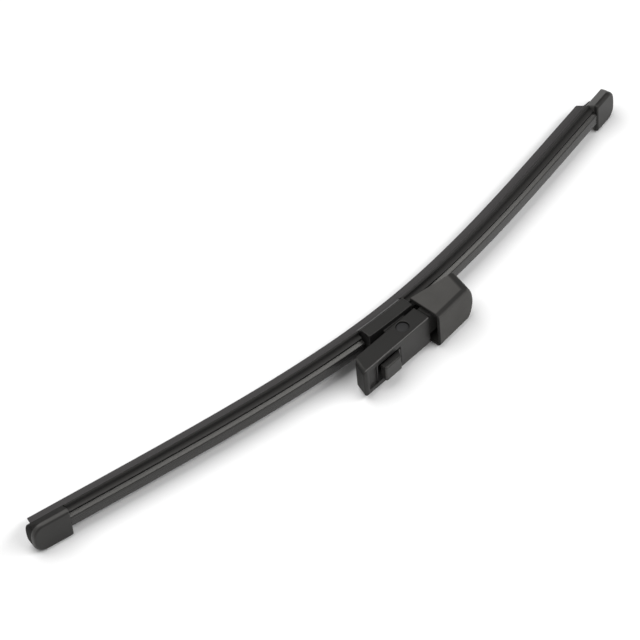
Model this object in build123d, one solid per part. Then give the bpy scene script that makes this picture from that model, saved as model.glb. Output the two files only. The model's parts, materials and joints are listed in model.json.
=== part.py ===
from build123d import *
import math
import os

# Rear wiper blade: a bowed flat blade with a swinging adapter for the arm.
# The origin is on the pivot axis, in the middle of the blade's width. X runs along the blade towards
# the hood, Y towards the glass and Z across the blade, so the blade lies on its side.
# Lengths along the blade are measured on the wiping edge from the pivot.
# Heights are measured from the wiping edge towards the arm, and sides from the middle of the width.

# Blade length and bow
NEAR_LIP = 144.3          # wiping edge from the pivot to the near end
FAR_LIP = 126.7           # wiping edge from the pivot to the far end
PIVOT_HEIGHT = 17.0       # pivot axis above the wiping edge
BOW_RADIUS = 250.0        # tightest radius of the free bow
BOW_SHIFT = 9.7           # the tightest point lies this far from the pivot, towards the hood
BOW_STEPS = 5             # spans on each side of the tightest point, the last of them straight
NEAR_FADE = 2.0           # power by which the bow fades towards the near end
FAR_FADE = 1.75           # power by which the bow fades towards the far end

# Wiper rubber
LIP_TIP = 0.4             # half thickness of the wiping edge
LIP_FLARE = 0.85          # half thickness where the lip starts to flare
LIP_ROOT = 1.7            # half thickness of the lip's root
LIP_SLAB = 2.7            # height of the thin part of the lip
LIP_FLARE_HEIGHT = 0.8    # height of the flare
LIP_ROOT_HEIGHT = 0.4     # height of the root's straight edge
NECK_HALF = 0.35          # half thickness of the neck that lets the lip lean
NECK_HEIGHT = 0.8
SHOULDER_LOW = 2.4        # half width of the shoulders beside the neck
SHOULDER_HIGH = 2.9       # half width of the shoulders under the rails
SHOULDER_HEIGHT = 1.0
WEB_HALF = 0.9            # half thickness of the web between the rails
HEAD_HALF = 2.3           # half width of the head above the rails
HEAD_HEIGHT = 0.75
NOTCH_RADIUS = 3.6        # hollow curve of the lip's far end, from its edge to its root

# Spring rails
RAIL_THICKNESS = 0.9
RAIL_WIDTH = 3.0
RAIL_INSET = 2.6          # rail ends stop this far inside the cap tips
STRIP_FIT = 0.05          # clearance round the rails and the rubber's head

# Spoiler extrusion
CLAW_WALL = 0.55          # wall under the rails
CLAW_HOOK = 0.7           # reach of the claw under the rail
CLAW_FOOT = 0.1           # claw thickness beside the rail, at its glass side
FLANGE_WALL = 0.4         # wall above the rails
FLANGE_SIDE = 1.65        # flange overhang beside the rails
RIM_HEIGHT = 0.1          # rim above the groove's floor
RIM_EDGE = 0.6            # straight height of the flange's edge
RIM_TOP = 0.3             # width of the rim's top
GROOVE_WIDTH = 1.25       # groove between the rim and the ledge
LEDGE_HEIGHT = 1.8        # ledge above the groove's floor
LEDGE_SLOPE = 0.1         # lean of the ledge's side
LEDGE_WIDTH = 0.4
LINE_DEPTH = 0.8          # thin groove at the foot of the ridge
RIDGE_HEIGHT = 1.4        # ridge above the ledge
RIDGE_TOP = 2.4           # half width of the ridge's top
RIDGE_FOOT = 3.1          # half width of the ridge's foot
RIDGE_EDGE = 0.35         # chamfer of the ridge's top

# Connector base
BASE_NEAR = 11.0          # base from the pivot towards the near end
BASE_FAR = 9.0            # base from the pivot towards the far end
BASE_SIDE = 7.0           # half width of the base's body
BASE_TOP = 12.5           # height of the body's top
BASE_FOOT = 7.9           # height of the glass-side edge of the body's side faces
BASE_EDGE = 0.4           # edge radius of the body's top
SPOILER_GAP = 0.5         # gap between the base and each spoiler
UPSTAND_HALF = 4.9        # half width of the upstand that carries the pin
UPSTAND_FOOT = 5.2        # half length of the upstand's foot
BOSS_WALL = 0.7           # wall round the pin

# Pivot pin
PIN_RADIUS = 2.35
PIN_RECESS = 0.6          # the pin's ends lie this far inside the adapter's side faces
PIN_CHAMFER = 0.3
PIN_SEAT = 0.01           # radial clearance of the pin in the base
PIN_RUNNING = 0.05        # radial clearance of the pin in the adapter

# Adapter block
REST_SWING = 3.0          # the adapter is swung this far from the blade's line, in degrees
BLOCK_NEAR = 24.7         # block from the pivot to its free end, at the outer face
BLOCK_FAR = 9.0           # block from the pivot to the gap before the hood
BLOCK_SIDE = 6.57         # half width of the block
BLOCK_OUTER = 4.4         # outer face from the pivot
BLOCK_INNER = 2.8         # open edge from the pivot, on the glass side
BLOCK_WALL = 1.25         # side and end walls
BLOCK_WEB = 1.3           # wall of the outer face
BLOCK_RAKE = 2.4          # the free end leans in by this much
BLOCK_CORNER = 1.6        # chamfer of the free end on the glass side
BLOCK_EDGE = 0.35         # chamfer round the outer face
BLOCK_END_RADIUS = 1.6    # corner radius of the free end, seen from the arm's side
POCKET_LENGTH = 4.0       # shallow pocket between the free end and the window
POCKET_BAR = 0.7          # bar left between the pocket and the window
POCKET_DEPTH = 0.8
POCKET_SIDE = 4.4         # half width of the pocket

# Latch tongue and button
WINDOW_NEAR = 17.4        # near end of the window from the pivot
WINDOW_SIDE = 4.1         # half width of the window
LATCH_HINGE = 6.4         # hinge line from the pivot
LATCH_GAP = 1.2           # gap at the tongue's free end
LATCH_SIDE_GAP = 0.7      # gap along each side of the tongue
LATCH_CLEARANCE = 0.1     # gap round the tongue's rounded root
BUTTON_RISE = 2.6         # button above the block's outer face
BUTTON_RAMP = 1.6         # length of the button's sloping end
BUTTON_EDGE = 0.7         # edge radius of the button
BUTTON_ROOT = 0.6         # tongue left clear between the button and the hinge line

# Hood
HOOD_MOUTH = 10.5         # mouth from the pivot
HOOD_LENGTH = 19.2        # mouth to the nose
HOOD_SIDE = 8.1           # half width of the hood
HOOD_OUTER = 7.8          # outer face from the pivot, at the mouth
HOOD_TILT = 3.5           # the outer face leans in towards the nose, in degrees
HOOD_DEPTH = 14.3         # outer face to the glass-side edge, at the mouth
HOOD_NOSE_DEPTH = 8.6     # outer face to the glass-side edge, at the nose
HOOD_NOSE_LEAN = 18.0     # the nose leans out towards the glass, in degrees
HOOD_NOSE_RADIUS = 2.2    # corner radius of the nose, seen from the arm's side
HOOD_NOSE_CROWN = 3.0     # the nose bulges by this much in the middle
HOOD_EDGE = 2.0           # edge radius round the outer face
HOOD_WALL = 1.1
NECK_SIDE = 4.6           # half width of the neck between block and hood
NECK_OUTER = 2.6          # neck's outer face from the pivot
NECK_WALL = 1.2
BULKHEAD = 17.0           # bulkhead in the hood, from the pivot
BULKHEAD_WALL = 1.2

# End caps
NEAR_CAP = 14.8           # length of the near cap
FAR_CAP = 11.8            # length of the far cap
CAP_OVERHANG = 3.5        # cap tip beyond the near end of the rubber
FAR_TAIL = 9.9            # far cap's tip beyond the lip's far end
CAP_SIDE = 6.6            # half width of a cap
CAP_TOP = 10.8            # height of a cap's outer face
CAP_FOOT = 5.15           # height of the cap's glass-side edge
CAP_FOOT_SIDE = 4.15      # half width of a cap at its glass-side edge
CAP_BEND = 9.2            # height from which the cap's sides lean in towards the glass
CAP_EDGE = 1.3            # edge radius along the outer face
CAP_TIP_RADIUS = 4.6      # corner radius of the tip, seen from the arm's side
CAP_TIP_CROWN = 0.9       # the tip bulges by this much in the middle
CAP_HOOK = 1.0            # reach of the cap's hooks under the rails
CAP_END_WALL = 1.2
CAP_BUTT = 0.1            # gap between a spoiler and a cap

# Heights that follow from the pieces above
LIP_HEIGHT = LIP_SLAB + LIP_FLARE_HEIGHT + LIP_ROOT_HEIGHT
SHOULDER_BASE = LIP_HEIGHT + NECK_HEIGHT
SLOT_LOW = SHOULDER_BASE + SHOULDER_HEIGHT
RAIL_LOW = SLOT_LOW + STRIP_FIT
RAIL_HIGH = RAIL_LOW + RAIL_THICKNESS
SLOT_HIGH = RAIL_HIGH + STRIP_FIT
HEAD_TOP = SLOT_HIGH + HEAD_HEIGHT
RAIL_INNER = WEB_HALF + STRIP_FIT
RAIL_OUTER = RAIL_INNER + RAIL_WIDTH
SLOT_OUTER = RAIL_OUTER + STRIP_FIT
FLANGE_HALF = RAIL_OUTER + FLANGE_SIDE
GROOVE_FLOOR = SLOT_HIGH + FLANGE_WALL
RIM_HIGH = GROOVE_FLOOR + RIM_HEIGHT
CLAW_LOW = SLOT_LOW - CLAW_WALL
LEDGE_TOP = GROOVE_FLOOR + LEDGE_HEIGHT
RIDGE_HIGH = LEDGE_TOP + RIDGE_HEIGHT
NEAR_CAP_TIP = -NEAR_LIP - CAP_OVERHANG
FAR_CAP_TIP = FAR_LIP + FAR_TAIL


def bow_spans():
    """Spans of the wiping edge as (start, end, curvature), the bow fading to its ends."""
    spans = []
    for side, reach, power in ((-1, NEAR_LIP + BOW_SHIFT, NEAR_FADE), (1, FAR_LIP - BOW_SHIFT, FAR_FADE)):
        for step in range(BOW_STEPS):
            inner, outer = step / BOW_STEPS, (step + 1) / BOW_STEPS
            fade = ((1 - inner) ** (power + 1) - (1 - outer) ** (power + 1)) / ((power + 1) * (outer - inner))
            last = step == BOW_STEPS - 1
            limit = 2 if last else outer
            start, end = sorted(BOW_SHIFT + side * reach * part for part in (inner, limit))
            spans.append((start, end, 0 if last else fade / BOW_RADIUS))
    return sorted(spans)


def advance(x, y, heading, curvature, length):
    """Point and heading after a length of one span."""
    turn = curvature * length
    if curvature == 0:
        return x + length * math.cos(heading), y + length * math.sin(heading), heading
    x += (math.sin(heading + turn) - math.sin(heading)) / curvature
    y += (math.cos(heading) - math.cos(heading + turn)) / curvature
    return x, y, heading + turn


def station(along):
    """Point and heading of the wiping edge at a length from the pivot."""
    x, y, heading = 0.0, PIVOT_HEIGHT, 0.0
    ahead = along >= 0
    for start, end, curvature in bow_spans() if ahead else reversed(bow_spans()):
        low, high = max(start, min(0, along)), min(end, max(0, along))
        if high > low:
            x, y, heading = advance(x, y, heading, curvature, high - low if ahead else low - high)
    return x, y, heading


def section_plane(along):
    """Plane across the blade: its X is the height towards the arm and its Y is the side."""
    x, y, heading = station(along)
    return Plane(
        origin=(x, y, 0),
        x_dir=(math.sin(heading), -math.cos(heading), 0),
        z_dir=(-math.cos(heading), -math.sin(heading), 0),
    )


def along_bow(profile, start, end):
    """Solid of one profile carried along the bow between two lengths."""
    solid = Part()
    for span_start, span_end, curvature in bow_spans():
        low, high = max(start, span_start), min(end, span_end)
        if high <= low:
            continue
        x, y, heading = station(low)
        face = section_plane(low) * profile
        if curvature:
            centre = (x - math.sin(heading) / curvature, y + math.cos(heading) / curvature, 0)
            solid += revolve(face, Axis(centre, (0, 0, 1)), math.degrees(curvature * (high - low)))
        else:
            solid += extrude(face, high - low, dir=(math.cos(heading), math.sin(heading), 0))
    return solid


def both_sides(half):
    """Closed outline from the points of one side, as (height, side)."""
    return Polygon(*half, *[(height, -side) for height, side in reversed(half)], align=None)


def block(x_low, x_high, y_low, y_high, half_width):
    """Box between limits in X and Y, centred across the blade."""
    middle = Pos((x_low + x_high) / 2, (y_low + y_high) / 2, 0)
    return middle * Box(x_high - x_low, y_high - y_low, 2 * half_width)


def head_outline():
    """Web, slots and head of the rubber, with the shoulders under the rails."""
    return [
        (SHOULDER_BASE, SHOULDER_LOW),
        (SLOT_LOW, SHOULDER_HIGH),
        (SLOT_LOW, WEB_HALF),
        (SLOT_HIGH, WEB_HALF),
        (SLOT_HIGH, HEAD_HALF),
        (HEAD_TOP, HEAD_HALF),
    ]


def lip_outline():
    """Wiping lip with its flared root and the neck."""
    return [
        (0, LIP_TIP),
        (LIP_SLAB, LIP_FLARE),
        (LIP_HEIGHT - LIP_ROOT_HEIGHT, LIP_ROOT),
        (LIP_HEIGHT, LIP_ROOT),
        (LIP_HEIGHT, NECK_HALF),
        (SHOULDER_BASE, NECK_HALF),
    ]


def wiper_rubber():
    """Rubber strip; the lip ends in a hollow curve at the far cap's mouth, the head runs on into the cap."""
    root_end = FAR_LIP + NOTCH_RADIUS
    strip = along_bow(both_sides(lip_outline() + head_outline()), -NEAR_LIP, root_end)
    strip += along_bow(both_sides(head_outline()), root_end, FAR_CAP_TIP - RAIL_INSET)
    x, y, _ = station(root_end)
    return strip - Pos(x, y, 0) * Cylinder(NOTCH_RADIUS, 4 * LIP_ROOT)


def spring_rail(side):
    """One bowed spring strip, on the side given by 1 or -1."""
    middle = Pos((RAIL_LOW + RAIL_HIGH) / 2, side * (RAIL_INNER + RAIL_OUTER) / 2)
    bar = middle * Rectangle(RAIL_THICKNESS, RAIL_WIDTH)
    return along_bow(bar, NEAR_CAP_TIP + RAIL_INSET, FAR_CAP_TIP - RAIL_INSET)


def rail_channel(hook):
    """Inner outline round the rails and the rubber's head, from the claw's hook inwards."""
    return [
        (CLAW_LOW, SLOT_OUTER - hook),
        (SLOT_LOW, SLOT_OUTER - hook),
        (SLOT_LOW, SLOT_OUTER),
        (SLOT_HIGH, SLOT_OUTER),
        (SLOT_HIGH, HEAD_HALF + STRIP_FIT),
        (HEAD_TOP + STRIP_FIT, HEAD_HALF + STRIP_FIT),
    ]


def claw_outline():
    """Outer outline of a claw, from the flange's edge to its foot."""
    return [
        (RIM_HIGH, FLANGE_HALF),
        (RIM_HIGH - RIM_EDGE, FLANGE_HALF),
        (CLAW_LOW, SLOT_OUTER + CLAW_FOOT),
    ]


def spoiler(start, end):
    """Ridged cover clawed round the rails."""
    ledge_outer = FLANGE_HALF - RIM_TOP - GROOVE_WIDTH
    top = [
        (RIDGE_HIGH, RIDGE_TOP),
        (LEDGE_TOP, RIDGE_FOOT),
        (LEDGE_TOP - LINE_DEPTH, RIDGE_FOOT),
        (LEDGE_TOP - LINE_DEPTH, ledge_outer - LEDGE_SLOPE - LEDGE_WIDTH),
        (LEDGE_TOP, ledge_outer - LEDGE_SLOPE - LEDGE_WIDTH),
        (LEDGE_TOP, ledge_outer - LEDGE_SLOPE),
        (GROOVE_FLOOR, ledge_outer),
        (GROOVE_FLOOR, FLANGE_HALF - RIM_TOP),
        (RIM_HIGH, FLANGE_HALF - RIM_TOP),
    ]
    outline = both_sides(top + claw_outline() + rail_channel(CLAW_HOOK))
    outline = chamfer(outline.vertices().group_by(Axis.X)[-1], RIDGE_EDGE)
    return along_bow(outline, start, end)


def connector_base():
    """Saddle that grips the rails, with the upstand for the pin."""
    body = [(BASE_TOP, BASE_SIDE), (BASE_FOOT, BASE_SIDE)]
    saddle = along_bow(both_sides(body + claw_outline() + rail_channel(CLAW_HOOK)), -BASE_NEAR, BASE_FAR)
    saddle = fillet(saddle.edges().filter_by(Axis.Z).group_by(Axis.Y)[0], BASE_EDGE)
    boss_radius = PIN_RADIUS + BOSS_WALL
    foot = PIVOT_HEIGHT - BASE_TOP + BASE_EDGE
    side_view = Circle(boss_radius) + Polygon(
        (-boss_radius, 0), (boss_radius, 0), (UPSTAND_FOOT, foot), (-UPSTAND_FOOT, foot), align=None
    )
    saddle += extrude(side_view, UPSTAND_HALF, both=True)
    return saddle - Cylinder(PIN_RADIUS + PIN_SEAT, 2 * BASE_SIDE)


def pivot_pin():
    """Plain pin with chamfered ends."""
    pin = Cylinder(PIN_RADIUS, 2 * (BLOCK_SIDE - PIN_RECESS))
    return chamfer(pin.edges().filter_by(GeomType.CIRCLE), PIN_CHAMFER)


def hood_form(inset):
    """Outer form of the hood, or the hollow inside it, drawn in by a wall and open at the mouth and skirt."""
    start, half = -HOOD_EDGE - inset, HOOD_SIDE - inset
    lean_run = HOOD_NOSE_DEPTH * math.tan(math.radians(HOOD_NOSE_LEAN))
    corners = [
        (start, inset),
        (2 * HOOD_LENGTH, inset),
        (2 * HOOD_LENGTH, HOOD_NOSE_DEPTH + inset),
        (HOOD_LENGTH + lean_run, HOOD_NOSE_DEPTH + inset),
        (start, HOOD_DEPTH + inset),
    ]
    shoulder = -inset - HOOD_NOSE_CROWN
    bulge = ThreePointArc((shoulder, -half), (-inset, 0), (shoulder, half))
    plan = make_face([bulge, Polyline(bulge @ 1, (-2 * HOOD_LENGTH, half), (-2 * HOOD_LENGTH, -half), bulge @ 0)])
    plan = fillet(plan.vertices().group_by(Axis.X)[-1], HOOD_NOSE_RADIUS - inset)
    nose = Pos(HOOD_LENGTH, 0, 0) * Rot(0, 0, -HOOD_NOSE_LEAN)
    form = extrude(Polygon(*corners, align=None), half, both=True)
    form &= nose * extrude(Plane.XZ * plan, 2 * HOOD_DEPTH, both=True)
    return Pos(HOOD_MOUTH, -HOOD_OUTER, 0) * Rot(0, 0, HOOD_TILT) * form


def hood():
    """Hollow hood with a bulkhead, open at its mouth and on the glass side."""
    form = hood_form(0)
    shell = fillet(form.faces().sort_by(Axis.Y)[0].edges(), HOOD_EDGE) - hood_form(HOOD_WALL)
    shell &= block(HOOD_MOUTH, HOOD_MOUTH + 2 * HOOD_LENGTH, -2 * HOOD_OUTER, HOOD_DEPTH, HOOD_SIDE)
    bulkhead = block(BULKHEAD, BULKHEAD + BULKHEAD_WALL, -HOOD_OUTER, NECK_OUTER, HOOD_SIDE)
    return shell + (bulkhead & hood_form(HOOD_WALL / 2))


def spigot():
    """Channel block that the arm slides over, with the neck that carries the hood."""
    corners = [
        (-BLOCK_NEAR, -BLOCK_OUTER),
        (-BLOCK_NEAR + BLOCK_RAKE, BLOCK_INNER),
        (BLOCK_FAR, BLOCK_INNER),
        (BLOCK_FAR, -BLOCK_OUTER),
    ]
    side_view = Polygon(*corners, align=None)
    side_view = chamfer(side_view.vertices().group_by(Axis.Y)[-1].sort_by(Axis.X)[0], BLOCK_CORNER)
    body = extrude(side_view, BLOCK_SIDE, both=True)
    free_end = body.faces().sort_by(Axis.X)[0]
    body = fillet(free_end.edges().filter_by(Plane.XY), BLOCK_END_RADIUS)
    outer_face = body.faces().sort_by(Axis.Y)[0]
    body = chamfer(outer_face.edges() - outer_face.edges().group_by(Axis.X)[-1], BLOCK_EDGE)
    channel = block(
        BLOCK_WALL - BLOCK_NEAR + BLOCK_RAKE,
        BLOCK_FAR - BLOCK_WALL,
        BLOCK_WEB - BLOCK_OUTER,
        BLOCK_INNER + BLOCK_WALL,
        BLOCK_SIDE - BLOCK_WALL,
    )
    neck = block(BLOCK_FAR - BLOCK_WALL, BULKHEAD, -NECK_OUTER, NECK_OUTER, NECK_SIDE)
    core = block(BLOCK_FAR, BULKHEAD, NECK_WALL - NECK_OUTER, NECK_OUTER + NECK_WALL, NECK_SIDE - NECK_WALL)
    return body - channel + (neck - core)


def latch_window():
    """Window for the latch tongue, with a hollow round its root and a shallow pocket beside its free end."""
    web_middle = BLOCK_WEB / 2 - BLOCK_OUTER
    outside, inside = -BLOCK_OUTER - BLOCK_WEB, 2 * BLOCK_WEB - BLOCK_OUTER
    opening = block(-WINDOW_NEAR, -LATCH_HINGE, outside, inside, WINDOW_SIDE)
    seat = Pos(-LATCH_HINGE, web_middle, 0) * Cylinder(BLOCK_WEB / 2 + LATCH_CLEARANCE, 2 * WINDOW_SIDE)
    pocket_start = -WINDOW_NEAR - POCKET_BAR
    pocket_floor = POCKET_DEPTH - BLOCK_OUTER
    pocket = block(pocket_start - POCKET_LENGTH, pocket_start, outside, pocket_floor, POCKET_SIDE)
    return opening + seat + pocket


def arm_adapter():
    """Spigot and hood in one moulding, swung to its place at rest."""
    adapter = spigot() + hood() - latch_window()
    adapter -= Cylinder(PIN_RADIUS + PIN_RUNNING, 2 * HOOD_SIDE)
    return Rot(0, 0, REST_SWING) * adapter


def latch_button():
    """Sprung tongue with the release button, rounded at its root."""
    free_end = LATCH_GAP - WINDOW_NEAR
    outer, inner = -BLOCK_OUTER, BLOCK_WEB - BLOCK_OUTER
    crest = outer - BUTTON_RISE
    ramp_foot = -LATCH_HINGE - BUTTON_ROOT
    outline = [
        (free_end, inner),
        (free_end, crest),
        (ramp_foot - BUTTON_RAMP, crest),
        (ramp_foot, outer),
        (-LATCH_HINGE, outer),
        (-LATCH_HINGE, inner),
    ]
    side_view = Polygon(*outline, align=None) + Pos(-LATCH_HINGE, (outer + inner) / 2) * Circle(BLOCK_WEB / 2)
    tongue = extrude(side_view, WINDOW_SIDE - LATCH_SIDE_GAP, both=True)
    tongue = fillet(tongue.faces().sort_by(Axis.Y)[0].edges(), BUTTON_EDGE)
    return Rot(0, 0, REST_SWING) * tongue


def cap_form(length):
    """Outer form of an end cap, its mouth on the drawing plane, its sides leaning in towards the glass."""
    half = CAP_SIDE
    shoulder = length - CAP_TIP_CROWN
    bulge = ThreePointArc((shoulder, -half), (length, 0), (shoulder, half))
    plan = make_face([bulge, Polyline(bulge @ 1, (-CAP_EDGE, half), (-CAP_EDGE, -half), bulge @ 0)])
    plan = fillet(plan.vertices().group_by(Axis.X)[-1], CAP_TIP_RADIUS)
    looking_down = Plane(origin=(CAP_FOOT, 0, 0), x_dir=(0, 0, 1), z_dir=(1, 0, 0))
    form = extrude(looking_down * plan, CAP_TOP - CAP_FOOT)
    form = fillet(form.faces().sort_by(Axis.X)[-1].edges(), CAP_EDGE)
    section = both_sides([(CAP_TOP, half), (CAP_BEND, half), (CAP_FOOT, CAP_FOOT_SIDE)])
    return form & extrude(section, length, dir=(0, 0, 1))


def end_cap(length):
    """End cap with the channel for the rails and the rubber, and a slot for the neck and lip."""
    slot_half = SLOT_OUTER - CAP_HOOK
    channel = [
        (0, slot_half),
        (SLOT_LOW, slot_half),
        (SLOT_LOW, SLOT_OUTER),
        (SLOT_HIGH, SLOT_OUTER),
        (SLOT_HIGH, HEAD_HALF + STRIP_FIT),
        (HEAD_TOP + STRIP_FIT, HEAD_HALF + STRIP_FIT),
    ]
    return cap_form(length) - extrude(both_sides(channel), length - CAP_END_WALL, dir=(0, 0, 1))


def end_cap_near():
    """Cap at the near end."""
    return section_plane(NEAR_CAP_TIP + NEAR_CAP) * end_cap(NEAR_CAP)


def end_cap_far():
    """Cap at the far end, turned to face the other way."""
    return section_plane(FAR_CAP_TIP - FAR_CAP) * Rot(180, 0, 0) * end_cap(FAR_CAP)


def main():
    """Writes one file for each piece."""
    os.makedirs("parts", exist_ok=True)
    pieces = {
        "wiper_rubber": wiper_rubber(),
        "spring_rail_upper": spring_rail(1),
        "spring_rail_lower": spring_rail(-1),
        "spoiler_near": spoiler(NEAR_CAP_TIP + NEAR_CAP + CAP_BUTT, -BASE_NEAR - SPOILER_GAP),
        "spoiler_far": spoiler(BASE_FAR + SPOILER_GAP, FAR_CAP_TIP - FAR_CAP - CAP_BUTT),
        "connector_base": connector_base(),
        "pivot_pin": pivot_pin(),
        "arm_adapter": arm_adapter(),
        "latch_button": latch_button(),
        "end_cap_near": end_cap_near(),
        "end_cap_far": end_cap_far(),
    }
    for name, piece in pieces.items():
        export_step(piece, f"parts/{name}.step")


main()
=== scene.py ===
"""Looks of a rear wiper blade: rubber, spoilers, rails, caps, base, pin, adapter and latch."""
import json
import math

import bmesh
import bpy
import numpy as np
from mathutils import Matrix, Vector

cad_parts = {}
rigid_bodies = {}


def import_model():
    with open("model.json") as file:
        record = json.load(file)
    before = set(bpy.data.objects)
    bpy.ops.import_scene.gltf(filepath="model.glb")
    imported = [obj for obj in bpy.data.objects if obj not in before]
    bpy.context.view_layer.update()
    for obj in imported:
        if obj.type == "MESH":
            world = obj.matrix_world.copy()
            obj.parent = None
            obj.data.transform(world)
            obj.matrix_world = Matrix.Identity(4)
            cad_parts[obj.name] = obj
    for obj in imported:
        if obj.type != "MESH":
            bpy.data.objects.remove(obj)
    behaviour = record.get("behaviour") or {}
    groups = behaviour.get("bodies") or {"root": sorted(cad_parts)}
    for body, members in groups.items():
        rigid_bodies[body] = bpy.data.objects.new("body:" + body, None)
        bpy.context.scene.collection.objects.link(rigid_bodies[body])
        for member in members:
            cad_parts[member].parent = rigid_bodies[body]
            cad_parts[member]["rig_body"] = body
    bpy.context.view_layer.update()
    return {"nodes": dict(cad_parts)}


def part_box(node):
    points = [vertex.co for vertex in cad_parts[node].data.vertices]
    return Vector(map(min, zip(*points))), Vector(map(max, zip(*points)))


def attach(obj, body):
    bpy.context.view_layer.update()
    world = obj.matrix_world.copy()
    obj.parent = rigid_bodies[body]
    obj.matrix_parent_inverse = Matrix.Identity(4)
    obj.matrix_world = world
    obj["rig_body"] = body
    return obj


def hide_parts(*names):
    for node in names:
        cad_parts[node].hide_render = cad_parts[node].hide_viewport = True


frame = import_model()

bl_info = {
    "name": "Rear Wiper Blade",
    "version": (1, 0, 0),
    "blender": (4, 5, 0),
    "location": "View3D > Sidebar > Wiper",
    "description": "Builds the finished pieces of a rear wiper blade around its frame",
    "category": "Add Mesh",
}

MM = 0.001

# Bow of the wiping edge
PIVOT_HEIGHT = 17.0 * MM
BOW_STEPS = 5
NEAR_FADE = 2.0
FAR_FADE = 1.75
BOW_POINTS = 8001
BOW_REACH = 165 * MM

# Wiper rubber, half thicknesses and heights from the wiping edge
LIP_EDGE = 0.01 * MM
LIP_TIP = 0.4 * MM
LIP_FLARE = 0.85 * MM
LIP_ROOT = 1.7 * MM
LIP_SLAB = 2.7 * MM
ROOT_LOW = 3.5 * MM
ROOT_HIGH = 3.9 * MM
NECK_HALF = 0.35 * MM
NECK_HIGH = 4.7 * MM
SHOULDER_LOW = 2.4 * MM
SHOULDER_HIGH = 2.9 * MM
SLOT_LOW = 5.7 * MM
SLOT_HIGH = 6.7 * MM
WEB_HALF = 0.9 * MM
HEAD_HALF = 2.3 * MM
HEAD_TOP = 7.45 * MM
NOTCH_RADIUS = 3.6 * MM
HEAD_TAIL = 7.3 * MM
DRAFT = 0.03 * MM
STRIP_FIT = 0.05 * MM

# Spring rails
RAIL_OUTER = 3.95 * MM
RAIL_NEAR = -145.2 * MM
RAIL_FAR = 134.0 * MM
RAIL_EDGE = 0.2 * MM

# Spoilers, with the start and end of each
RIDGE_HIGH = 10.3 * MM
RIDGE_TOP = 2.15 * MM
RIDGE_FOOT = 3.1 * MM
LEDGE_TOP = 8.9 * MM
LINE_LOW = 8.1 * MM
LEDGE_INNER = 3.55 * MM
LEDGE_OUTER = 3.95 * MM
LEDGE_FOOT = 4.05 * MM
GROOVE_FLOOR = 7.1 * MM
RIM_INNER = 5.3 * MM
RIM_HIGH = 7.2 * MM
FLANGE_HALF = 5.6 * MM
RIM_LOW = 6.6 * MM
CLAW_LOW = 5.15 * MM
CLAW_FOOT = 4.1 * MM
CLAW_HOOK = 3.3 * MM
SLOT_OUTER = 4.0 * MM
SPOILERS = {
    "spoiler_near": (-132.9 * MM, -11.5 * MM),
    "spoiler_far": (9.5 * MM, 124.7 * MM),
}

# Edge radii of the extruded outlines
BROAD_EDGE = 0.8 * MM
SOFT_EDGE = 0.2 * MM
EASED_EDGE = 0.15 * MM
FIRM_EDGE = 0.12 * MM
FINE_EDGE = 0.1 * MM
TIGHT_EDGE = 0.06 * MM
CRISP_EDGE = 0.05 * MM
RIM_EDGE = 0.03 * MM

# End caps, with the mouth, the roughness of the sides, the scale of the sides' colour that paints shade
# on the near cap and light on the far one, and the lightness of the painted highlight on the long edge
CAP_BEND = 9.2 * MM
CAP_TOP = 10.8 * MM
CAPS = {
    "end_cap_near": (-133.0 * MM, 0.95, 0.8, 3.0),
    "end_cap_far": (124.8 * MM, 0.4, 4.4, 1.0),
}

# Arm adapter from the pivot, and its swing from the blade's line
REST_SWING = math.radians(3)
BLOCK_SIDE = 6.57 * MM
BLOCK_OUTER = 4.4 * MM
BLOCK_NEAR = 24.7 * MM
HOOD_START = 9.8 * MM
HOOD_MOUTH = 10.5 * MM
HOOD_LENGTH = 19.2 * MM
HOOD_SIDE = 8.1 * MM
HOOD_OUTER = 7.8 * MM
HOOD_TILT = math.radians(3.5)
HOOD_NOSE_LEAN = math.radians(18)

# Pivot pin
PIN_RADIUS = 2.35 * MM
PIN_HALF = 5.97 * MM
PIN_EDGE = 0.3 * MM

# Steps of the curved surfaces
ROUND_STEPS = 6
LONG_ROWS = 260
SHORT_ROWS = 120
PIN_STEPS = 64
EDGE_SEGMENTS = 3

# Joining of the mouldings' facets
MERGE_DISTANCE = 1e-6
FLAT_ANGLE = math.radians(0.5)
SHARP_ANGLE = math.radians(35)

# Finishes: tint of the gloss, range that the noise mostly keeps to, clouds and moulded grain
SPECULAR_TINT = (1.0, 0.985, 0.94, 1.0)
NOISE_RANGE = (0.3, 0.7)
CLOUD_SCALE = 160
CLOUD_DETAIL = 3
CLOUD_SHADE = (0.92, 1.08)
CLOUD_GLOSS = 0.03
GRAIN_DETAIL = 2
FINE_GRAIN = 0.3 * MM
COARSE_GRAIN = 0.35 * MM

# Strips' finish: grain, streaks along the blade and matt flanks
STRIP_GRAIN_SCALE = 2600
STREAK_SCALE = (40, 5000, 1)
STREAK_DETAIL = 3
STREAK_SHADE = (0.88, 1.12)
STREAK_GLOSS = (0.85, 1.15)
FLANK_ROUGHNESS = 0.9
FLANK_MARGIN = 0.01 * MM

# Adapter's finish: pairs are for the block and the hood, or where a fade starts and stops
ADAPTER_SPECULAR = 0.42
ADAPTER_ROUGHNESS = (0.46, 0.78)
ADAPTER_RELIEF = (0.25, 1)
ADAPTER_DEPTH = 0.02 * MM
START_FADE = 0.1 * MM
# Painted shade on the hood's rim and rounded edges: where it fades past the mouth, from the outer face,
# before the nose and inside the sides
RIM_FADE = (0.1 * MM, 0.4 * MM)
FACE_FADE = (1.5 * MM, 2.1 * MM)
NOSE_FADE = (5.3 * MM, 4.4 * MM)
SIDE_FADE = (1.1 * MM, 0.5 * MM)
# Duller free end of the block: where it fades in, and its roughness
FREE_END_FADE = (1.3 * MM, 2.1 * MM)
FREE_END_ROUGHNESS = 1.5
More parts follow.
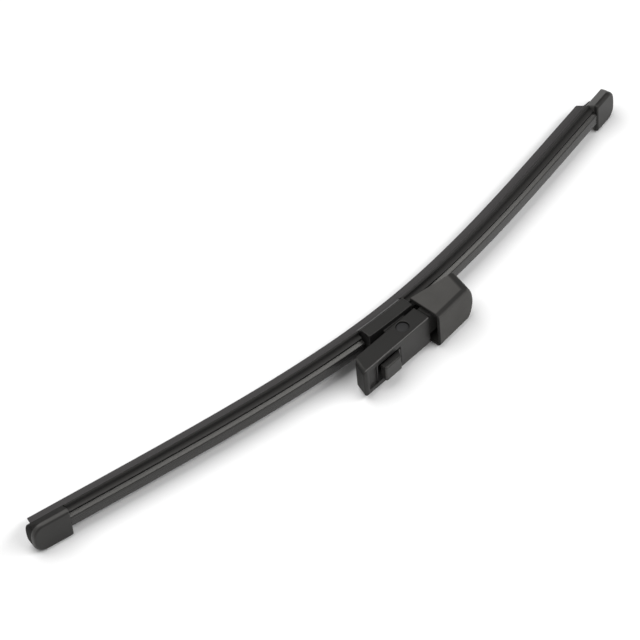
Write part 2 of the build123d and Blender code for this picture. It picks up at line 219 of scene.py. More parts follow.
# Painted highlight along the block's long edges and along the caps' long edges: where it fades in, how
# much lighter and how much glossier
EDGE_HIGHLIGHT_FADE = (0.5 * MM, 0.2 * MM)
EDGE_HIGHLIGHT_LIGHTNESS = 6
EDGE_HIGHLIGHT_ROUGHNESS = 0.65

# Caps' finish
CAP_SPECULAR = 0.3
CAP_ROUGHNESS = 0.42
CAP_DEPTH = 0.012 * MM
CAP_FADE = 0.2 * MM

# Floor
FLOOR_REACH = 3.0
FLOOR_SPECULAR = 0.1
FLOOR_CLOUD_SCALE = 3
FLOOR_CLOUD_DETAIL = 2
FLOOR_SHADE = (0.99, 1.01)
FLOOR_ROUGHNESS = (0.78, 0.82)
FLOOR_DEPTH = 0.001 * MM

# Lights, with the place, the length along the blade and the width of each
LIGHTS = {
    "key": ((-0.22, 0.24, 1.00), 0.9, 0.9),
    "accent": ((0.36, -0.55, 0.74), 1.0, 0.22),
    "edge": ((0.40, -0.82, 0.40), 1.0, 0.4),
}

# Camera, as the photograph was taken
CAMERA_PLACE = Vector((-457.72, -528.08, 788.17)) * MM
CAMERA_RIGHT = Vector((0.72405, -0.68555, -0.07594))
CAMERA_FORWARD = Vector((0.41801, 0.52372, -0.74228))
CAMERA_CLIP = 20
SENSOR = 36.0


class BladeSettings(bpy.types.PropertyGroup):
    """Sizes of the blade that a user would change."""

    near_lip: bpy.props.FloatProperty(
        name="Near length", description="Wiping edge from the pivot to the near end",
        default=144.3 * MM, unit="LENGTH")
    far_lip: bpy.props.FloatProperty(
        name="Far length", description="Wiping edge from the pivot to the far end",
        default=126.7 * MM, unit="LENGTH")
    bow_radius: bpy.props.FloatProperty(
        name="Bow radius", description="Tightest radius of the free bow",
        default=250 * MM, unit="LENGTH")
    bow_shift: bpy.props.FloatProperty(
        name="Bow shift", description="Tightest point of the bow from the pivot, towards the hood",
        default=9.7 * MM, unit="LENGTH")
    ridge_edge: bpy.props.FloatProperty(
        name="Ridge edge", description="Edge radius of the spoiler's ridge",
        default=0.6 * MM, unit="LENGTH")
    moulded_edge: bpy.props.FloatProperty(
        name="Moulded edge", description="Edge radius of the base and the block",
        default=0.2 * MM, unit="LENGTH")
    latch_edge: bpy.props.FloatProperty(
        name="Latch edge", description="Edge radius of the latch button",
        default=0.4 * MM, unit="LENGTH")
    cap_edge: bpy.props.FloatProperty(
        name="Cap edge", description="Edge radius round the mouths of the end caps",
        default=0.5 * MM, unit="LENGTH")


class FinishSettings(bpy.types.PropertyGroup):
    """Colours of the finishes."""

    rubber: bpy.props.FloatVectorProperty(
        name="Rubber", description="Colour of the wiping rubber",
        default=(0.057, 0.0545, 0.055), size=3, min=0, max=1, subtype="COLOR")
    spoiler: bpy.props.FloatVectorProperty(
        name="Spoiler", description="Colour of the spoiler rubber",
        default=(0.018, 0.0175, 0.0172), size=3, min=0, max=1, subtype="COLOR")
    # On the hood's rim and rounded edges this dark colour is painted shade
    smooth: bpy.props.FloatVectorProperty(
        name="Smooth plastic", description="Colour of the base, block, latch and hood's edges",
        default=(0.0095, 0.0092, 0.0092), size=3, min=0, max=1, subtype="COLOR")
    textured: bpy.props.FloatVectorProperty(
        name="Textured plastic", description="Colour of the hood",
        default=(0.050, 0.0485, 0.0463), size=3, min=0, max=1, subtype="COLOR")
    cap: bpy.props.FloatVectorProperty(
        name="Cap plastic", description="Colour of the end caps",
        default=(0.0155, 0.0151, 0.0147), size=3, min=0, max=1, subtype="COLOR")
    steel: bpy.props.FloatVectorProperty(
        name="Steel", description="Colour of the rails",
        default=(0.085, 0.085, 0.088), size=3, min=0, max=1, subtype="COLOR")
    plating: bpy.props.FloatVectorProperty(
        name="Plating", description="Colour of the dark plated pin",
        default=(0.020, 0.020, 0.021), size=3, min=0, max=1, subtype="COLOR")


class StageSettings(bpy.types.PropertyGroup):
    """Floor, lights and camera."""

    floor: bpy.props.FloatVectorProperty(
        name="Floor", description="Colour of the floor",
        default=(0.9, 0.9, 0.9), size=3, min=0, max=1, subtype="COLOR")
    key: bpy.props.FloatProperty(
        name="Key light", description="Power of the wide soft light on the glass side",
        default=8.8, unit="POWER")
    accent: bpy.props.FloatProperty(
        name="Accent light", description="Power of the long soft light that lines the ridges",
        default=5.1, unit="POWER")
    edge: bpy.props.FloatProperty(
        name="Edge light", description="Power of the low soft light that lines the edges",
        default=1.2, unit="POWER")
    ambient: bpy.props.FloatProperty(
        name="Ambient light", description="Strength of the even light from all sides", default=0.245)
    focal: bpy.props.FloatProperty(
        name="Focal length", description="Camera lens in millimetres", default=168.95, unit="CAMERA")


def settings(name):
    """One of the scene's groups of settings."""
    return getattr(bpy.context.scene, name)


def bow_line():
    """Wiping edge as lengths, x, y and headings. Its curvature falls in steps from the tightest point,
    as the mean of a power of (1 - share) over each step, and the last step at each end is straight.
    The heading is the sum of the curvature and the place is the sum of the headings' directions."""
    blade = settings("wiper_blade")
    along, step = np.linspace(-BOW_REACH, BOW_REACH, BOW_POINTS, retstep=True)
    middle = (along[1:] + along[:-1]) / 2
    near = middle < blade.bow_shift
    span = np.where(near, blade.near_lip + blade.bow_shift, blade.far_lip - blade.bow_shift)
    share = np.abs(middle - blade.bow_shift) / span
    inner = np.clip(np.floor(share * BOW_STEPS), 0, BOW_STEPS - 1) / BOW_STEPS
    outer = np.minimum(inner + 1 / BOW_STEPS, 1)
    power = np.where(near, NEAR_FADE, FAR_FADE) + 1
    fade = ((1 - inner) ** power - (1 - outer) ** power) * BOW_STEPS / power
    curvature = np.where(outer > 1 - 0.5 / BOW_STEPS, 0, fade / blade.bow_radius)

    def total(rates):
        summed = np.concatenate(([0], np.cumsum(rates * step)))
        return summed - np.interp(0, along, summed)

    heading = total(curvature)
    mean = (heading[1:] + heading[:-1]) / 2
    return along, total(np.cos(mean)), PIVOT_HEIGHT + total(np.sin(mean)), heading


def on_blade(along, height, side):
    """Points at lengths on the bow, heights from its wiping edge towards the arm and sides."""
    line, x, y, heading = bow_line()
    turn = np.interp(along, line, heading)
    px = np.interp(along, line, x) + height * np.sin(turn)
    py = np.interp(along, line, y) - height * np.cos(turn)
    return np.stack(np.broadcast_arrays(px, py, side), axis=-1)


def rounded(corners, radii):
    """Closed outline with each corner replaced by an arc: the arc is the rational curve through its two
    tangent points, drawn towards the corner by the cosine of half its turn."""
    corners, radii = np.asarray(corners, float), np.asarray(radii, float)[:, None]
    back = np.roll(corners, 1, axis=0) - corners
    ahead = np.roll(corners, -1, axis=0) - corners
    back /= np.linalg.norm(back, axis=1, keepdims=True)
    ahead /= np.linalg.norm(ahead, axis=1, keepdims=True)
    half_turn = (math.pi - np.arccos(np.clip((back * ahead).sum(1), -1, 1)))[:, None] / 2
    tangent = radii * np.tan(half_turn)
    t = np.linspace(0, 1, ROUND_STEPS)[None, :, None]
    pull = 2 * np.cos(half_turn)[:, :, None] * t * (1 - t)
    first, last = (1 - t) ** 2, t ** 2
    blended = (first * (corners + back * tangent)[:, None] + pull * corners[:, None]
               + last * (corners + ahead * tangent)[:, None])
    return (blended / (first + pull + last)).reshape(-1, 2)


def mirrored(half):
    """Closed outline from one side's corners, each as height, side and edge radius."""
    half = np.asarray(half, float)
    both = np.concatenate((half, half[::-1] * (1, -1, 1)))
    return rounded(both[:, :2], both[:, 2])


def outline_lengths(outline):
    """Length round a closed outline at each of its points, and at the first again."""
    ring = np.concatenate((outline, outline[:1]))
    return np.concatenate(([0], np.cumsum(np.linalg.norm(np.diff(ring, axis=0), axis=1))))


def tube_faces(rows, columns):
    """Quads of a grid whose columns close on themselves, and a flat face at each end."""
    row, column = np.meshgrid(np.arange(rows - 1), np.arange(columns), indexing="ij")
    after = (column + 1) % columns
    quads = np.stack((row * columns + column, row * columns + after,
                      (row + 1) * columns + after, (row + 1) * columns + column), axis=-1)
    first = np.arange(columns)
    last = first + (rows - 1) * columns
    return [*quads.reshape(-1, 4).tolist(), first[::-1].tolist(), last.tolist()]


def tube_uv(along, outline):
    """Length along the blade and round the outline for each corner of the tube's quads, in metres,
    and the outline itself for its two ends."""
    closed = np.concatenate((along, along[:, :1]), axis=1)
    uv = np.stack((closed, np.broadcast_to(outline_lengths(outline), closed.shape)), axis=-1)
    quads = np.stack((uv[:-1, :-1], uv[:-1, 1:], uv[1:, 1:], uv[1:, :-1]), axis=2).reshape(-1, 2)
    return np.concatenate((quads, outline[::-1], outline))


def mesh_points(mesh):
    """Places of a mesh's points, one row each."""
    points = np.empty(len(mesh.vertices) * 3)
    mesh.vertices.foreach_get("co", points)
    return points.reshape(-1, 3)


def add_piece(name, mesh, node, material):
    """Adds a mesh that stands for a node and rides on that node's body."""
    piece = bpy.data.objects.new(name, mesh)
    bpy.context.scene.collection.objects.link(piece)
    mesh.materials.clear()
    mesh.materials.append(material)
    mesh.shade_smooth()
    mesh.set_sharp_from_angle(angle=SHARP_ANGLE)
    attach(piece, frame["nodes"][node]["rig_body"])
    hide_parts(node)
    return piece


def swept(name, outline, starts, ends, rows, node, material):
    """Outline carried along the bow: each outline point runs from its own start to its own end."""
    share = np.linspace(0, 1, rows)[:, None]
    along = starts + share * (ends - starts)
    points = on_blade(along, outline[:, 0], outline[:, 1])
    mesh = bpy.data.meshes.new(name)
    mesh.from_pydata(points.reshape(-1, 3), [], tube_faces(rows, len(outline)))
    uv = tube_uv(along, outline).astype(np.float32)
    mesh.uv_layers.new(name="blade").data.foreach_set("uv", uv.ravel())
    return add_piece(name, mesh, node, material)


def moulded(name, node, material, edge, limit=math.inf):
    """Copy of a node's mesh with its points merged, its flat facets joined and its sharp edges
    rounded, as far along the X axis as the limit."""
    mesh = frame["nodes"][node].data.copy()
    mesh.name = name
    work = bmesh.new()
    work.from_mesh(mesh)
    bmesh.ops.remove_doubles(work, verts=work.verts, dist=MERGE_DISTANCE)
    bmesh.ops.dissolve_limit(work, angle_limit=FLAT_ANGLE, verts=work.verts, edges=work.edges)
    work.to_mesh(mesh)
    work.free()
    if "custom_normal" in mesh.attributes:
        mesh.attributes.remove(mesh.attributes["custom_normal"])
    piece = add_piece(name, mesh, node, material)
    sharp = np.zeros(len(mesh.edges), bool)
    mesh.attributes["sharp_edge"].data.foreach_get("value", sharp)
    ends = np.empty(len(mesh.edges) * 2, np.int32)
    mesh.edges.foreach_get("vertices", ends)
    farthest = mesh_points(mesh)[ends.reshape(-1, 2), 0].max(axis=1)
    weights = mesh.attributes.new("bevel_weight_edge", "FLOAT", "EDGE")
    weights.data.foreach_set("value", (sharp & (farthest < limit)).astype(np.float32))
    bevel = piece.modifiers.new("rounded edges", "BEVEL")
    bevel.width = edge
    bevel.segments = EDGE_SEGMENTS
    bevel.use_clamp_overlap = False
    bevel.limit_method = "WEIGHT"
    bevel.miter_outer = "MITER_ARC"
    weighted = piece.modifiers.new("flat faces", "WEIGHTED_NORMAL")
    weighted.keep_sharp = True
    return piece


def add_node(tree, kind, inputs, operation=None):
    """Adds a shader node, with its operation if it has one. Each input is a constant or another
    node's socket."""
    node = tree.nodes.new(kind)
    if operation:
        node.operation = operation
    for name, value in inputs.items():
        if isinstance(value, bpy.types.NodeSocket):
            tree.links.new(value, node.inputs[name])
        else:
            node.inputs[name].default_value = value
    return node


def calculate(tree, operation, *values):
    """Result of one operation on one or two values."""
    inputs = dict(enumerate(values))
    return add_node(tree, "ShaderNodeMath", inputs, operation).outputs["Value"]


def multiply(tree, first, second):
    """Product of two values."""
    return calculate(tree, "MULTIPLY", first, second)


def remap(tree, value, source, target):
    """Value carried from one range to another, and held at its ends."""
    inputs = {"Value": value, "From Min": source[0], "From Max": source[1],
              "To Min": target[0], "To Max": target[1]}
    return add_node(tree, "ShaderNodeMapRange", inputs).outputs["Result"]


def rising(tree, value, start, stop):
    """Share that rises from nought at the start to one at the stop."""
    return remap(tree, value, (start, stop), (0, 1))


def falling(tree, value, start, stop):
    """Share that falls from one at the start to nought at the stop."""
    return remap(tree, value, (start, stop), (1, 0))


def between(tree, share, first, second):
    """Value that goes from the first to the second as a share goes from nought to one."""
    return remap(tree, share, (0, 1), (first, second))


def noise(tree, place, scale, detail):
    """Smooth noise at a place, from nought to one."""
    inputs = {"Vector": place, "Scale": scale, "Detail": detail}
    return add_node(tree, "ShaderNodeTexNoise", inputs).outputs["Fac"]


def reach(tree, place, angle):
    """Distance of a place from the pivot's axis in the direction at an angle from the X axis."""
    inputs = {0: place, 1: (math.cos(angle), math.sin(angle), 0)}
    return add_node(tree, "ShaderNodeVectorMath", inputs, "DOT_PRODUCT").outputs["Value"]


def component(tree, vector, axis):
    """One component of a vector."""
    return add_node(tree, "ShaderNodeSeparateXYZ", {"Vector": vector}).outputs[axis]


def new_material(name, metallic, specular):
    """Empty material with its tree, shader and coordinates."""
    material = bpy.data.materials.new(name)
    material.use_nodes = True
    tree = material.node_tree
    shader = tree.nodes["Principled BSDF"]
    shader.inputs["Metallic"].default_value = metallic
    shader.inputs["Specular IOR Level"].default_value = specular
    shader.inputs["Specular Tint"].default_value = SPECULAR_TINT
    return material, tree, shader, tree.nodes.new("ShaderNodeTexCoord")


def finish(tree, shader, colour, gain, roughness, height, depth):
    """Joins a colour times its gain, a roughness and a bump height to a shader."""
    inputs = {"Vector": colour, "Scale": gain}
    shaded = add_node(tree, "ShaderNodeVectorMath", inputs, "SCALE")
    tree.links.new(shaded.outputs["Vector"], shader.inputs["Base Color"])
    tree.links.new(roughness, shader.inputs["Roughness"])
    bump = add_node(tree, "ShaderNodeBump", {"Height": height, "Distance": depth})
    tree.links.new(bump.outputs["Normal"], shader.inputs["Normal"])


def plastic_material(name, colour, roughness, specular, depth):
    """Smooth plastic or plating: cloudy shade and gloss, with a fine grain of bumps."""
    material, tree, shader, coordinates = new_material(name, 0, specular)
    place = coordinates.outputs["Object"]
    cloud = noise(tree, place, CLOUD_SCALE, CLOUD_DETAIL)
    gain = remap(tree, cloud, NOISE_RANGE, CLOUD_SHADE)
    gloss = remap(tree, cloud, NOISE_RANGE, (roughness - CLOUD_GLOSS, roughness + CLOUD_GLOSS))
    grain = noise(tree, place, 1 / FINE_GRAIN, GRAIN_DETAIL)
    finish(tree, shader, colour, gain, gloss, grain, depth)
    return material


def hood_share_with_painted_shade(tree, place, along, side):
    """Share of the hood's light colour: one on its faces, and nought on the block, which is dark
    plastic, and on the hood's rim and on the rounded edges between its sides and its outer face and
    nose, where the dark colour is painted shade. The outer face tilts, and the nose leans from it, so
    each is measured in a direction of its own."""
    face = HOOD_OUTER * math.cos(HOOD_TILT) + HOOD_MOUTH * math.sin(HOOD_TILT)
    lean = HOOD_TILT - HOOD_NOSE_LEAN
    nose = (HOOD_MOUTH * math.cos(lean) - HOOD_OUTER * math.sin(lean)
            + HOOD_LENGTH * math.cos(HOOD_NOSE_LEAN))
    depth = reach(tree, place, REST_SWING + HOOD_TILT + math.pi / 2)
    ahead = reach(tree, place, REST_SWING + lean)
    by_face = falling(tree, depth, FACE_FADE[0] - face, FACE_FADE[1] - face)
    by_nose = rising(tree, ahead, nose - NOSE_FADE[0], nose - NOSE_FADE[1])
    by_side = rising(tree, side, HOOD_SIDE - SIDE_FADE[0], HOOD_SIDE - SIDE_FADE[1])
    # Painted shade on the rounded edges, which keep the block's dark colour
    edge = multiply(tree, by_side, calculate(tree, "MAXIMUM", by_face, by_nose))
    # Painted shade on the rim of the mouth as well
    past_rim = rising(tree, along, HOOD_MOUTH + RIM_FADE[0], HOOD_MOUTH + RIM_FADE[1])
    return multiply(tree, past_rim, between(tree, edge, 1, 0))


def adapter_material(name, block, hood):
    """Moulded plastic of the adapter: smooth on the block, with a painted highlight along its long
    edges, lighter and glossier, and a duller free end; rougher and grained on the hood, which is
    lighter except on its rim and rounded edges, where shade is painted in the block's dark colour."""
    material, tree, shader, coordinates = new_material(name, 0, ADAPTER_SPECULAR)
    place = coordinates.outputs["Object"]
    along = reach(tree, place, REST_SWING)
    down = reach(tree, place, REST_SWING - math.pi / 2)
    side = calculate(tree, "ABSOLUTE", component(tree, place, "Z"))
    # Hood's lighter plastic, with painted shade in the block's dark colour on its rim and rounded edges
    light = hood_share_with_painted_shade(tree, place, along, side)
    channels = [between(tree, light, *ends) for ends in zip(block, hood)]
    colour = add_node(tree, "ShaderNodeCombineXYZ", dict(zip("XYZ", channels))).outputs["Vector"]
    on_hood = rising(tree, along, HOOD_START - START_FADE, HOOD_START + START_FADE)
    # Painted highlight: the block's long edges, clear of the hood, are made lighter and glossier
    near_face = rising(tree, down, BLOCK_OUTER - EDGE_HIGHLIGHT_FADE[0], BLOCK_OUTER - EDGE_HIGHLIGHT_FADE[1])
    near_side = rising(tree, side, BLOCK_SIDE - EDGE_HIGHLIGHT_FADE[0], BLOCK_SIDE - EDGE_HIGHLIGHT_FADE[1])
    painted_edge_highlight = multiply(tree, multiply(tree, near_face, near_side), between(tree, on_hood, 1, 0))
    cloud = remap(tree, noise(tree, place, CLOUD_SCALE, CLOUD_DETAIL), NOISE_RANGE, CLOUD_SHADE)
    gain = multiply(tree, cloud, between(tree, painted_edge_highlight, 1, EDGE_HIGHLIGHT_LIGHTNESS))
    past_end = (FREE_END_FADE[0] - BLOCK_NEAR, FREE_END_FADE[1] - BLOCK_NEAR)
    duller = remap(tree, along, past_end, (FREE_END_ROUGHNESS, 1))
    plain = between(tree, on_hood, *ADAPTER_ROUGHNESS)
    worn = multiply(tree, plain, between(tree, painted_edge_highlight, 1, EDGE_HIGHLIGHT_ROUGHNESS))
    gloss = multiply(tree, worn, duller)
    relief = between(tree, on_hood, *ADAPTER_RELIEF)
    height = multiply(tree, noise(tree, place, 1 / COARSE_GRAIN, GRAIN_DETAIL), relief)
    finish(tree, shader, colour, gain, gloss, height, ADAPTER_DEPTH)
    return material


def cap_material(name, colour, mouth, side_roughness, side_painted_light, long_edge_painted_highlight):
    """Moulded plastic of a cap: satin on the outer face, with a painted highlight on the long edges
    beside it, and a roughness of their own on the sides that lean to the glass, whose colour is scaled
    to paint shade on them below one and light above one."""
    material, tree, shader, coordinates = new_material(name, 0, CAP_SPECULAR)
    place = coordinates.outputs["Object"]
    line, x, y, heading = bow_line()
    turn = float(np.interp(mouth, line, heading))
    mouth_x, mouth_y = np.interp(mouth, line, x), np.interp(mouth, line, y)
    foot = float(mouth_x * math.sin(turn) - mouth_y * math.cos(turn))
    bend, top = foot + CAP_BEND, foot + CAP_TOP
    rise = reach(tree, place, turn - math.pi / 2)
    satin = rising(tree, rise, bend - CAP_FADE, bend + CAP_FADE)
    # Painted highlight along the long edges beside the outer face
    painted_edge_highlight = multiply(tree, satin, falling(tree, rise, top - EDGE_HIGHLIGHT_FADE[0], top - EDGE_HIGHLIGHT_FADE[1]))
    cloud = remap(tree, noise(tree, place, CLOUD_SCALE, CLOUD_DETAIL), NOISE_RANGE, CLOUD_SHADE)
    gain = multiply(tree, cloud, between(tree, painted_edge_highlight, 1, long_edge_painted_highlight))
    # Painted light and shade on the sides, by each cap's own scale
    gain = multiply(tree, gain, between(tree, satin, side_painted_light, 1))
    gloss = between(tree, satin, side_roughness, CAP_ROUGHNESS)
    grain = noise(tree, place, 1 / COARSE_GRAIN, GRAIN_DETAIL)
    finish(tree, shader, colour, gain, gloss, grain, CAP_DEPTH)
    return material


def drawn_material(name, colour, roughness, specular, depth, metallic=0, flanks=(0, 0, 0)):
    """Extruded or rolled strip: streaks that run along the blade, with a fine grain between them. Its
    flanks are matt: they are given by a middle, in length round the outline, and by the two distances
    from that middle between which they fade."""
    material, tree, shader, coordinates = new_material(name, metallic, specular)
    uv = coordinates.outputs["UV"]
    stretched = add_node(tree, "ShaderNodeMapping", {"Vector": uv, "Scale": STREAK_SCALE})
    streak = noise(tree, stretched.outputs["Vector"], 1, STREAK_DETAIL)
    grain = noise(tree, coordinates.outputs["Object"], STRIP_GRAIN_SCALE, GRAIN_DETAIL)
    gain = remap(tree, streak, NOISE_RANGE, STREAK_SHADE)
    middle, start, stop = flanks
    offset = calculate(tree, "SUBTRACT", component(tree, uv, "Y"), middle)
    satin = rising(tree, calculate(tree, "ABSOLUTE", offset), start, stop + FLANK_MARGIN)
    streaked = remap(tree, streak, NOISE_RANGE, STREAK_GLOSS)
    gloss = multiply(tree, streaked, between(tree, satin, FLANK_ROUGHNESS, roughness))
    finish(tree, shader, colour, gain, gloss, calculate(tree, "ADD", streak, grain), depth)
    return material


class WIPER_OT_rubber(bpy.types.Operator):
    """Build the wiping rubber along the bow, its lip ending in a hollow curve at the far cap"""

    bl_idname = "wiper.rubber"
    bl_label = "Wiping rubber"

    def execute(self, context):
        blade = settings("wiper_blade")
        outline = mirrored([
            (LIP_EDGE, LIP_TIP, CRISP_EDGE),
            (LIP_SLAB, LIP_FLARE, BROAD_EDGE),
            (ROOT_LOW, LIP_ROOT, EASED_EDGE),
            (ROOT_HIGH, LIP_ROOT, FIRM_EDGE),
            (ROOT_HIGH + DRAFT, NECK_HALF, SOFT_EDGE),
            (NECK_HIGH - DRAFT, NECK_HALF, SOFT_EDGE),
            (NECK_HIGH, SHOULDER_LOW, EASED_EDGE),
            (SLOT_LOW - DRAFT, SHOULDER_HIGH, FINE_EDGE),
            (SLOT_LOW, WEB_HALF, CRISP_EDGE),
            (SLOT_HIGH, WEB_HALF, CRISP_EDGE),
            (SLOT_HIGH + DRAFT, HEAD_HALF, FINE_EDGE),
            (HEAD_TOP, HEAD_HALF, SOFT_EDGE),
        ])
        height = outline[:, 0]
        root_end = blade.far_lip + NOTCH_RADIUS
        hollow = root_end - np.sqrt(np.clip(NOTCH_RADIUS ** 2 - height ** 2, 0, None))
        neck = (ROOT_HIGH + DRAFT, NECK_HIGH - DRAFT)
        ends = hollow + np.interp(height, neck, (0, HEAD_TAIL - NOTCH_RADIUS))
        starts = np.full_like(height, -blade.near_lip)
        colour = settings("wiper_finish").rubber
        material = drawn_material(
            "wiping rubber", colour, roughness=0.7, specular=0.12, depth=0.004 * MM)
        swept("wiping_rubber", outline, starts, ends, LONG_ROWS,
              "wiper_rubber", material)
        return {"FINISHED"}


class WIPER_OT_spoilers(bpy.types.Operator):
    """Build the ridged spoilers on both sides of the base"""

    bl_idname = "wiper.spoilers"
    bl_label = "Spoilers"

    def execute(self, context):
        ridge = [
            (RIDGE_HIGH, RIDGE_TOP, settings("wiper_blade").ridge_edge),
            (LEDGE_TOP, RIDGE_FOOT, FIRM_EDGE),
            (LINE_LOW, RIDGE_FOOT, TIGHT_EDGE),
            (LINE_LOW, LEDGE_INNER, TIGHT_EDGE),
        ]
        ledge = [
            (LEDGE_TOP, LEDGE_INNER, EASED_EDGE),
            (LEDGE_TOP, LEDGE_OUTER, SOFT_EDGE),
        ]
        groove = [
            (GROOVE_FLOOR, LEDGE_FOOT, TIGHT_EDGE),
            (GROOVE_FLOOR, RIM_INNER, RIM_EDGE),
            (RIM_HIGH, RIM_INNER, RIM_EDGE),
            (RIM_HIGH, FLANGE_HALF, FINE_EDGE),
            (RIM_LOW, FLANGE_HALF, SOFT_EDGE),
        ]
        claw = [
            (CLAW_LOW, CLAW_FOOT, SOFT_EDGE),
            (CLAW_LOW, CLAW_HOOK, EASED_EDGE),
            (SLOT_LOW, CLAW_HOOK, TIGHT_EDGE),
            (SLOT_LOW, SLOT_OUTER, TIGHT_EDGE),
            (SLOT_HIGH, SLOT_OUTER, TIGHT_EDGE),
            (SLOT_HIGH, HEAD_HALF + STRIP_FIT, TIGHT_EDGE),
            (HEAD_TOP + STRIP_FIT, HEAD_HALF + STRIP_FIT, TIGHT_EDGE),
        ]
        outline = mirrored(ridge + ledge + groove + claw)
        around = outline_lengths(outline)
        half = len(outline) // 2
        middle = around[half - 1:half + 1].mean()
        ledge_start = around[len(ridge) * ROUND_STEPS]
        groove_start = around[len(ridge + ledge) * ROUND_STEPS]
        # Satin as far as the ledge, and matt from the groove on
        material = drawn_material(
            "spoiler rubber", settings("wiper_finish").spoiler, roughness=0.27, specular=0.33,
            depth=0.004 * MM, flanks=(middle, middle - groove_start, middle - ledge_start))
        for node, (start, end) in SPOILERS.items():
            starts = np.full(len(outline), start)
            ends = np.full(len(outline), end)
            swept(node + "_rubber", outline, starts, ends, SHORT_ROWS, node, material)
        return {"FINISHED"}


class WIPER_OT_rails(bpy.types.Operator):
    """Build the two bowed spring strips with rolled edges"""

    bl_idname = "wiper.rails"
    bl_label = "Spring rails"

    def execute(self, context):
        low, high = SLOT_LOW + STRIP_FIT, SLOT_HIGH - STRIP_FIT
        inner = WEB_HALF + STRIP_FIT
        corners = np.array([(high, RAIL_OUTER), (low, RAIL_OUTER), (low, inner), (high, inner)])
        colour = settings("wiper_finish").steel
        material = drawn_material(
            "spring steel", colour, roughness=0.35, specular=0.5, depth=0.002 * MM, metallic=1)
        for node, side in (("spring_rail_upper", 1), ("spring_rail_lower", -1)):
            outline = rounded(corners[::side] * (1, side), np.full(len(corners), RAIL_EDGE))
            starts = np.full(len(outline), RAIL_NEAR)
            ends = np.full(len(outline), RAIL_FAR)
            swept(node + "_strip", outline, starts, ends, SHORT_ROWS, node, material)
        return {"FINISHED"}


class WIPER_OT_pin(bpy.types.Operator):
    """Build the pivot pin as a profile of radius and place turned about its axis"""

    bl_idname = "wiper.pin"
    bl_label = "Pivot pin"

    def execute(self, context):
        bend = np.linspace(0, math.pi / 2, ROUND_STEPS)
        edge_radius = PIN_RADIUS - PIN_EDGE * (1 - np.cos(bend))
        edge_place = PIN_HALF - PIN_EDGE + PIN_EDGE * np.sin(bend)
        upper = np.column_stack((edge_radius, edge_place))
        profile = np.concatenate((upper[::-1] * (1, -1), upper))
        radius, place = profile[:, :1], profile[:, 1:]
        angle = np.linspace(0, 2 * math.pi, PIN_STEPS, endpoint=False)
        x, y = radius * np.cos(angle), radius * np.sin(angle)
        points = np.stack(np.broadcast_arrays(x, y, place), axis=-1)
        mesh = bpy.data.meshes.new("pin")
        mesh.from_pydata(points.reshape(-1, 3), [], tube_faces(len(profile), PIN_STEPS))
        colour = settings("wiper_finish").plating
        material = plastic_material(
            "plated steel", colour, roughness=0.45, specular=0.3, depth=0.004 * MM)
        add_piece("plated_pin", mesh, "pivot_pin", material)
        return {"FINISHED"}


class WIPER_OT_base(bpy.types.Operator):
    """Finish the connector base in smooth plastic with soft edges"""

    bl_idname = "wiper.base"
    bl_label = "Connector base"

    def execute(self, context):
        colour = settings("wiper_finish").smooth
        material = plastic_material(
            "smooth plastic", colour, roughness=0.5, specular=0.45, depth=0.006 * MM)
        edge = settings("wiper_blade").moulded_edge
        moulded("base_moulding", "connector_base", material, edge)
        return {"FINISHED"}


class WIPER_OT_adapter(bpy.types.Operator):
    """Finish the arm adapter, smooth on its block and grained on its hood"""

    bl_idname = "wiper.adapter"
    bl_label = "Arm adapter"

    def execute(self, context):
        colours = settings("wiper_finish")
        material = adapter_material("adapter plastic", colours.smooth, colours.textured)
        edge = settings("wiper_blade").moulded_edge
        moulded("adapter_moulding", "arm_adapter", material, edge, limit=HOOD_START)
        return {"FINISHED"}


class WIPER_OT_latch(bpy.types.Operator):
    """Finish the latch tongue and its button"""

    bl_idname = "wiper.latch"
    bl_label = "Latch button"

    def execute(self, context):
        colour = settings("wiper_finish").smooth
        material = plastic_material(
            "latch plastic", colour, roughness=0.45, specular=0.5, depth=0.008 * MM)
        edge = settings("wiper_blade").latch_edge
        moulded("latch_moulding", "latch_button", material, edge)
        return {"FINISHED"}


class WIPER_OT_caps(bpy.types.Operator):
    """Finish the two end caps in grained plastic with soft mouths"""

    bl_idname = "wiper.caps"
    bl_label = "End caps"

    def execute(self, context):
        for node, values in CAPS.items():
            material = cap_material(node + " plastic", settings("wiper_finish").cap, *values)
            moulded(node + "_moulding", node, material, settings("wiper_blade").cap_edge)
        return {"FINISHED"}


def add_camera():
    """Camera that looks along its forward axis with its right axis across the picture."""
    data = bpy.data.cameras.new("camera")
    data.sensor_fit = "HORIZONTAL"
    data.sensor_width = SENSOR
    data.lens = settings("wiper_stage").focal
    data.clip_end = CAMERA_CLIP
    back = -CAMERA_FORWARD.normalized()
    up = back.cross(CAMERA_RIGHT).normalized()
    turn = Matrix((up.cross(back), up, back)).transposed().to_4x4()
    camera = bpy.data.objects.new("camera", data)
    bpy.context.scene.collection.objects.link(camera)
    camera.matrix_world = Matrix.Translation(CAMERA_PLACE) @ turn
    bpy.context.scene.camera = camera


def add_light(name, place, length, width, power):
    """Soft rectangular light that faces the pivot, its length along the blade."""
    data = bpy.data.lights.new(name, "AREA")
    data.shape = "RECTANGLE"
    data.size = length
    data.size_y = width
    data.energy = power
    light = bpy.data.objects.new(name, data)
    bpy.context.scene.collection.objects.link(light)
    back = Vector(place).normalized()
    across = back.cross(Vector((1, 0, 0))).normalized()
    turn = Matrix((across.cross(back), across, back)).transposed().to_4x4()
    light.matrix_world = Matrix.Translation(place) @ turn


def resting_plane():
    """Height and slope of the floor: the plane through the near cap's lowest glass-side edge, turned
    about that line until it meets the adapter."""
    low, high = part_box("end_cap_near")
    points = mesh_points(frame["nodes"]["arm_adapter"].data)
    slope = ((low.z - points[:, 2]) / (high.y - points[:, 1])).max()
    return low.z - slope * high.y, slope


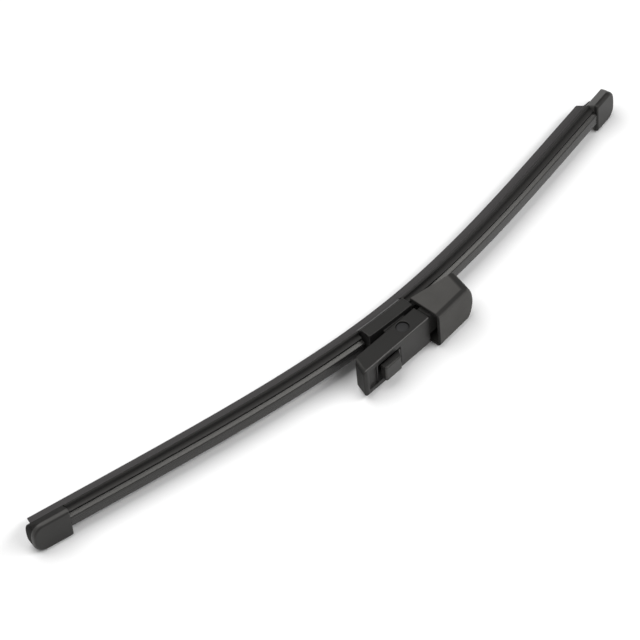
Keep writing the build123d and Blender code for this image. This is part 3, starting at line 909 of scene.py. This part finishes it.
def floor_material(name, colour):
    """Matt pale floor with a faint cloudiness."""
    material, tree, shader, coordinates = new_material(name, 0, FLOOR_SPECULAR)
    cloud = noise(tree, coordinates.outputs["Object"], FLOOR_CLOUD_SCALE, FLOOR_CLOUD_DETAIL)
    gain = remap(tree, cloud, NOISE_RANGE, FLOOR_SHADE)
    gloss = remap(tree, cloud, NOISE_RANGE, FLOOR_ROUGHNESS)
    finish(tree, shader, colour, gain, gloss, cloud, FLOOR_DEPTH)
    return material


class WIPER_OT_stage(bpy.types.Operator):
    """Add the pale floor, the soft lights and the camera"""

    bl_idname = "wiper.stage"
    bl_label = "Stage"

    def execute(self, context):
        stage = settings("wiper_stage")
        height, slope = resting_plane()
        corners = np.array([(-1, -1), (1, -1), (1, 1), (-1, 1)]) * FLOOR_REACH
        points = np.column_stack((corners, height + slope * corners[:, 1]))
        mesh = bpy.data.meshes.new("floor")
        mesh.from_pydata(points, [], [(0, 1, 2, 3)])
        floor = bpy.data.objects.new("floor", mesh)
        context.scene.collection.objects.link(floor)
        mesh.materials.append(floor_material("pale floor", stage.floor))
        for name, (place, length, width) in LIGHTS.items():
            add_light(name, place, length, width, getattr(stage, name))
        world = bpy.data.worlds.new("studio")
        context.scene.world = world
        world.use_nodes = True
        background = world.node_tree.nodes["Background"]
        background.inputs["Color"].default_value = (1, 1, 1, 1)
        background.inputs["Strength"].default_value = stage.ambient
        context.scene.view_settings.view_transform = "Standard"
        add_camera()
        return {"FINISHED"}


class WIPER_PT_panel(bpy.types.Panel):
    """Sidebar list of the pieces and their settings"""

    bl_idname = "WIPER_PT_panel"
    bl_label = "Rear Wiper Blade"
    bl_space_type = "VIEW_3D"
    bl_region_type = "UI"
    bl_category = "Wiper"

    def draw(self, context):
        for operator in OPERATORS:
            self.layout.operator(operator.bl_idname)
        for name, group in GROUPS.items():
            for field in group.__annotations__:
                self.layout.prop(settings(name), field)


GROUPS = {
    "wiper_blade": BladeSettings,
    "wiper_finish": FinishSettings,
    "wiper_stage": StageSettings,
}
OPERATORS = (
    WIPER_OT_rubber,
    WIPER_OT_spoilers,
    WIPER_OT_rails,
    WIPER_OT_pin,
    WIPER_OT_base,
    WIPER_OT_adapter,
    WIPER_OT_latch,
    WIPER_OT_caps,
    WIPER_OT_stage,
)


def register():
    """Registers the classes and puts the settings on the scene."""
    for item in (*GROUPS.values(), *OPERATORS, WIPER_PT_panel):
        bpy.utils.register_class(item)
    for name, group in GROUPS.items():
        setattr(bpy.types.Scene, name, bpy.props.PointerProperty(type=group))


def unregister():
    """Takes the settings and classes away again."""
    for name in GROUPS:
        delattr(bpy.types.Scene, name)
    for item in (WIPER_PT_panel, *OPERATORS, *GROUPS.values()):
        bpy.utils.unregister_class(item)


def main():
    """Builds every piece and the stage."""
    register()
    bpy.ops.wiper.rubber()
    bpy.ops.wiper.spoilers()
    bpy.ops.wiper.rails()
    bpy.ops.wiper.pin()
    bpy.ops.wiper.base()
    bpy.ops.wiper.adapter()
    bpy.ops.wiper.latch()
    bpy.ops.wiper.caps()
    bpy.ops.wiper.stage()


if __name__ == "__main__":
    main()
